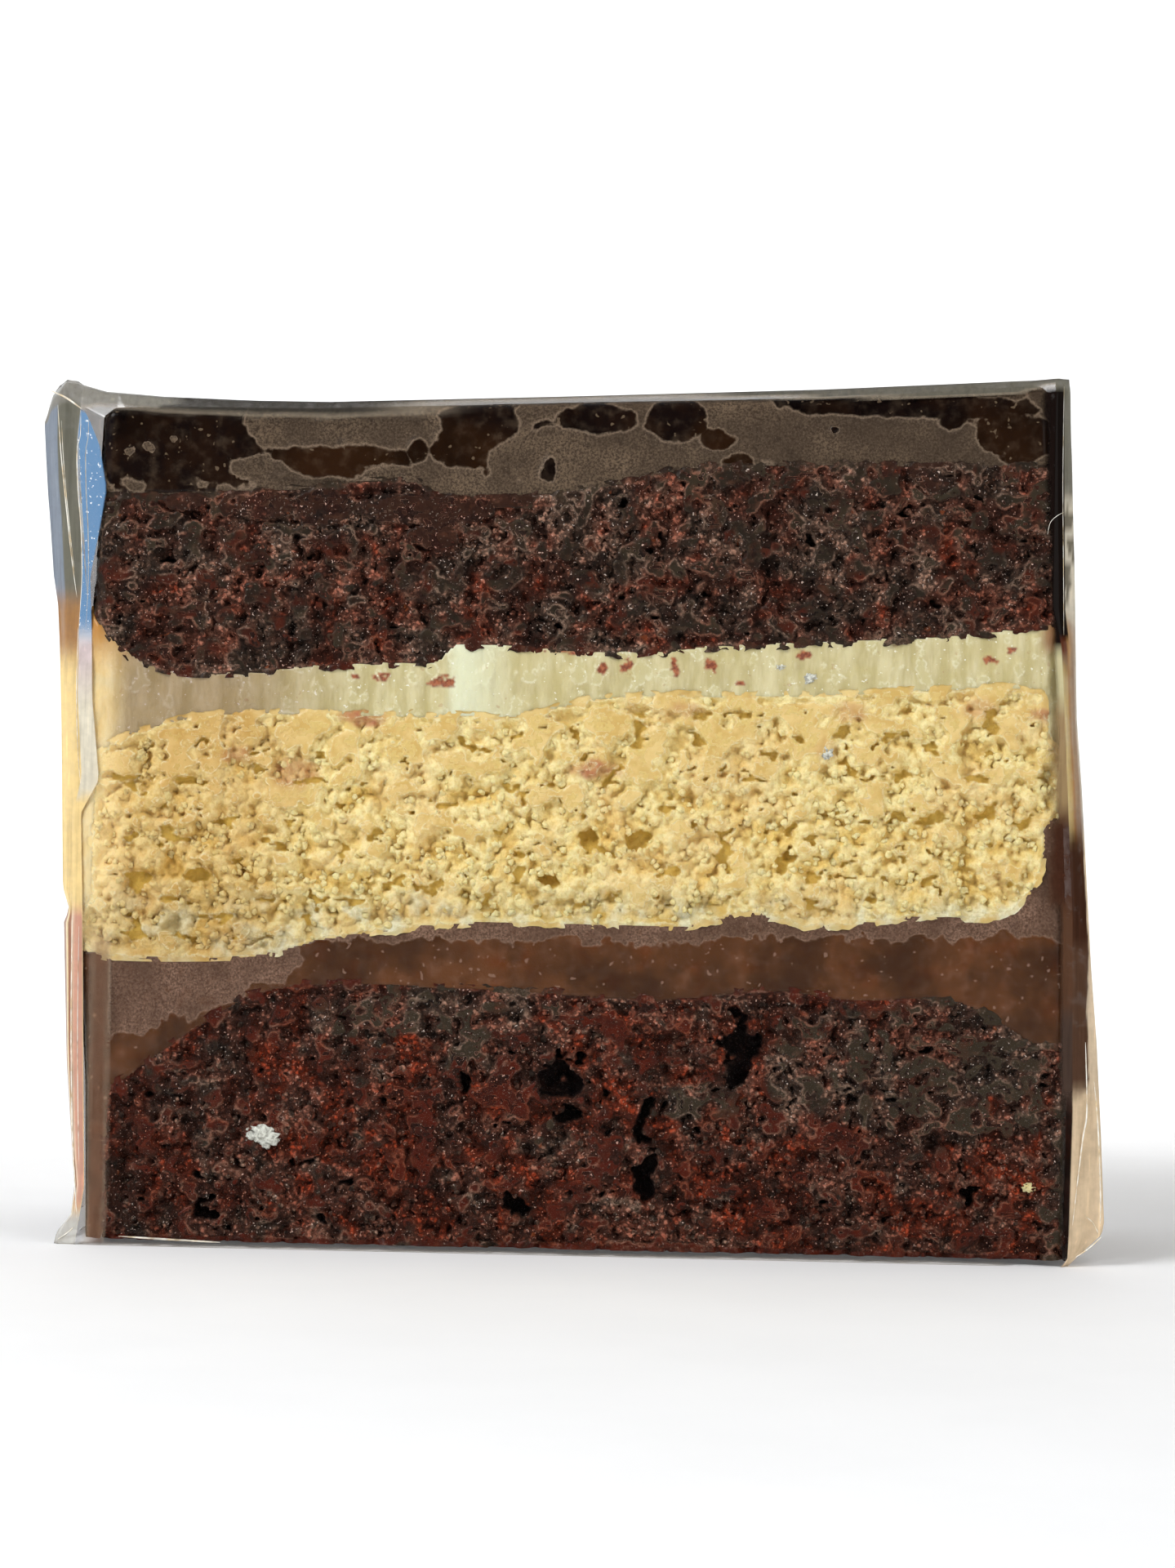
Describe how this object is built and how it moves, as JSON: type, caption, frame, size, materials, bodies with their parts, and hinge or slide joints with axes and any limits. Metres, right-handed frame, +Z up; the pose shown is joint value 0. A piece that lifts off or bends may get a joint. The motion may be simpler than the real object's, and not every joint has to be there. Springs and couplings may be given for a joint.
{
  "type": "wrapped fudge cake slice",
  "caption": "Rectangular slice of layered chocolate and vanilla sponge with cream and fudge, in clear film, standing on its base.",
  "frame": {"origin": "middle of the flat base that the slice stands on, where its two ends average out", "axes": "+X along the slice, +Y through its thickness away from the cut face seen first, +Z up through the layers"},
  "size_m": [0.1098, 0.0366, 0.0906],
  "materials": {
    "chocolate_sponge": "moist open crumb",
    "milk_fudge": "smooth soft fudge",
    "vanilla_sponge": "moist open crumb",
    "vanilla_cream": "smooth spread cream",
    "dark_fudge": "smooth dark fudge",
    "clear_film": "clear glossy film"
  },
  "bodies": {
    "root": {"bottom_sponge": "chocolate_sponge", "fudge_filling": "milk_fudge", "vanilla_sponge": "vanilla_sponge", "cream_filling": "vanilla_cream", "top_sponge": "chocolate_sponge", "fudge_topping": "dark_fudge", "wrapper_film": "clear_film"}
  },
  "joints": []
}
